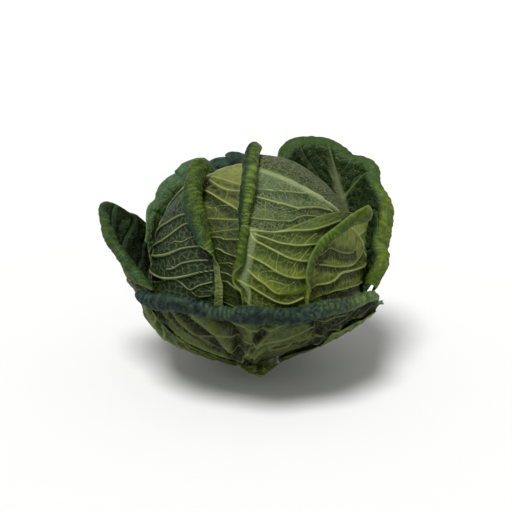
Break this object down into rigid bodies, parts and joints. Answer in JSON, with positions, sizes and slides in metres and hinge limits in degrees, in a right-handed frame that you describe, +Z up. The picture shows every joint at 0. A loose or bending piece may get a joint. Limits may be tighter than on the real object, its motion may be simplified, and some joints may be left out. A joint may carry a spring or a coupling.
{
  "type": "savoy cabbage",
  "caption": "Whole green savoy cabbage as picked: a round head of overlapping crinkled leaves on a cut stump, in a bowl of outer leaves whose rims roll outward.",
  "frame": {"origin": "middle of the stump's cut face, on the surface that the cabbage stands on", "axes": "+Z up through the crown, -Y towards the side of the head that the low front leaf leaves open, +X to its right"},
  "size_m": [0.2246, 0.2047, 0.1741],
  "materials": {
    "stump": "moist cut stalk, pale cream green with fibres",
    "inner_leaves": "pale yellow-green leaf, crinkled, soft sheen",
    "head_leaves": "waxy green leaf with a raised net of pale veins",
    "outer_leaves": "dark blistered leaf with a blue-green wax bloom"
  },
  "bodies": {
    "root": {"stump": "stump", "heart": "inner_leaves", "head_leaf_front": "head_leaves", "head_leaf_crown": "head_leaves", "head_leaf_centre": "head_leaves", "head_leaf_left": "head_leaves", "head_leaf_right": "head_leaves", "head_leaf_back_left": "head_leaves", "head_leaf_back_right": "head_leaves", "outer_leaf_front": "outer_leaves", "outer_leaf_left": "outer_leaves", "outer_leaf_back_left": "outer_leaves", "outer_leaf_back": "outer_leaves", "outer_leaf_right": "outer_leaves", "under_leaf_left": "outer_leaves", "under_leaf_right": "outer_leaves", "under_leaf_back": "outer_leaves", "foot_scale": "outer_leaves"}
  },
  "joints": []
}
